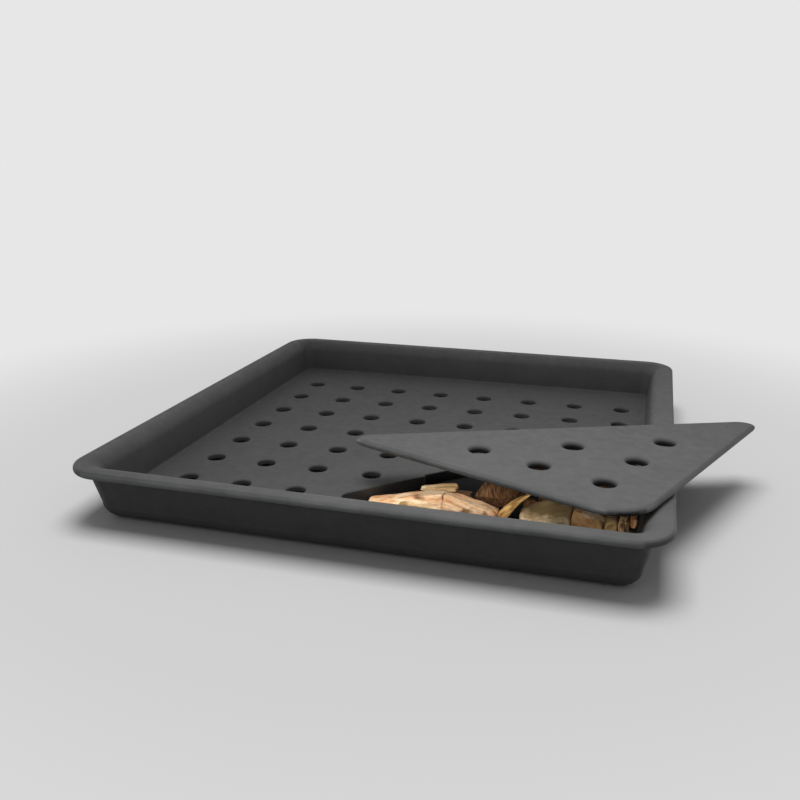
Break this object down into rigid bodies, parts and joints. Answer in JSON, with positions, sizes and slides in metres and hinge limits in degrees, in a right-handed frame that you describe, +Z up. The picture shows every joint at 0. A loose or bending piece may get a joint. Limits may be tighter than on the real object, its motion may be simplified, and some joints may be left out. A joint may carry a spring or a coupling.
{
  "type": "smoker tray",
  "caption": "Square shallow cast-iron tray with a perforated floor, a triangular corner pocket of loose wood chips, and a loose triangular plate with round holes lying ajar over the pocket.",
  "frame": {"origin": "bottom centre of the bounding box of the tray and the lid that lies ajar on it", "axes": "+Z up from the base the tray stands on, +X towards the side with the chip pocket and the overhanging lid, +Y from the pocket's front edge to the back of the tray"},
  "size_m": [0.4238, 0.382, 0.0443],
  "materials": {
    "cast_iron": "matt dark grey with a fine cast texture",
    "pale_wood": "dry split wood",
    "tan_wood": "dry split wood",
    "golden_wood": "dry split wood",
    "brown_wood": "dry split wood with bark-coloured ridges"
  },
  "bodies": {
    "tray": {"tray_casting": "cast_iron", "wood_chip_01": "pale_wood", "wood_chip_02": "pale_wood", "wood_chip_03": "tan_wood", "wood_chip_04": "brown_wood", "wood_chip_05": "tan_wood", "wood_chip_06": "tan_wood", "wood_chip_07": "tan_wood", "wood_chip_08": "tan_wood", "wood_chip_09": "tan_wood", "wood_chip_10": "brown_wood", "wood_chip_11": "tan_wood", "wood_chip_12": "pale_wood", "wood_chip_13": "tan_wood", "wood_chip_14": "pale_wood", "wood_chip_15": "golden_wood", "wood_chip_16": "brown_wood", "wood_chip_17": "tan_wood", "wood_chip_18": "golden_wood"},
    "lid": {"pocket_lid": "cast_iron"}
  },
  "joints": [
    {"name": "lid_lift", "type": "slide", "parent": "tray", "child": "lid", "axis": [0, 0, 1], "range_m": [0, 0.12]}
  ]
}
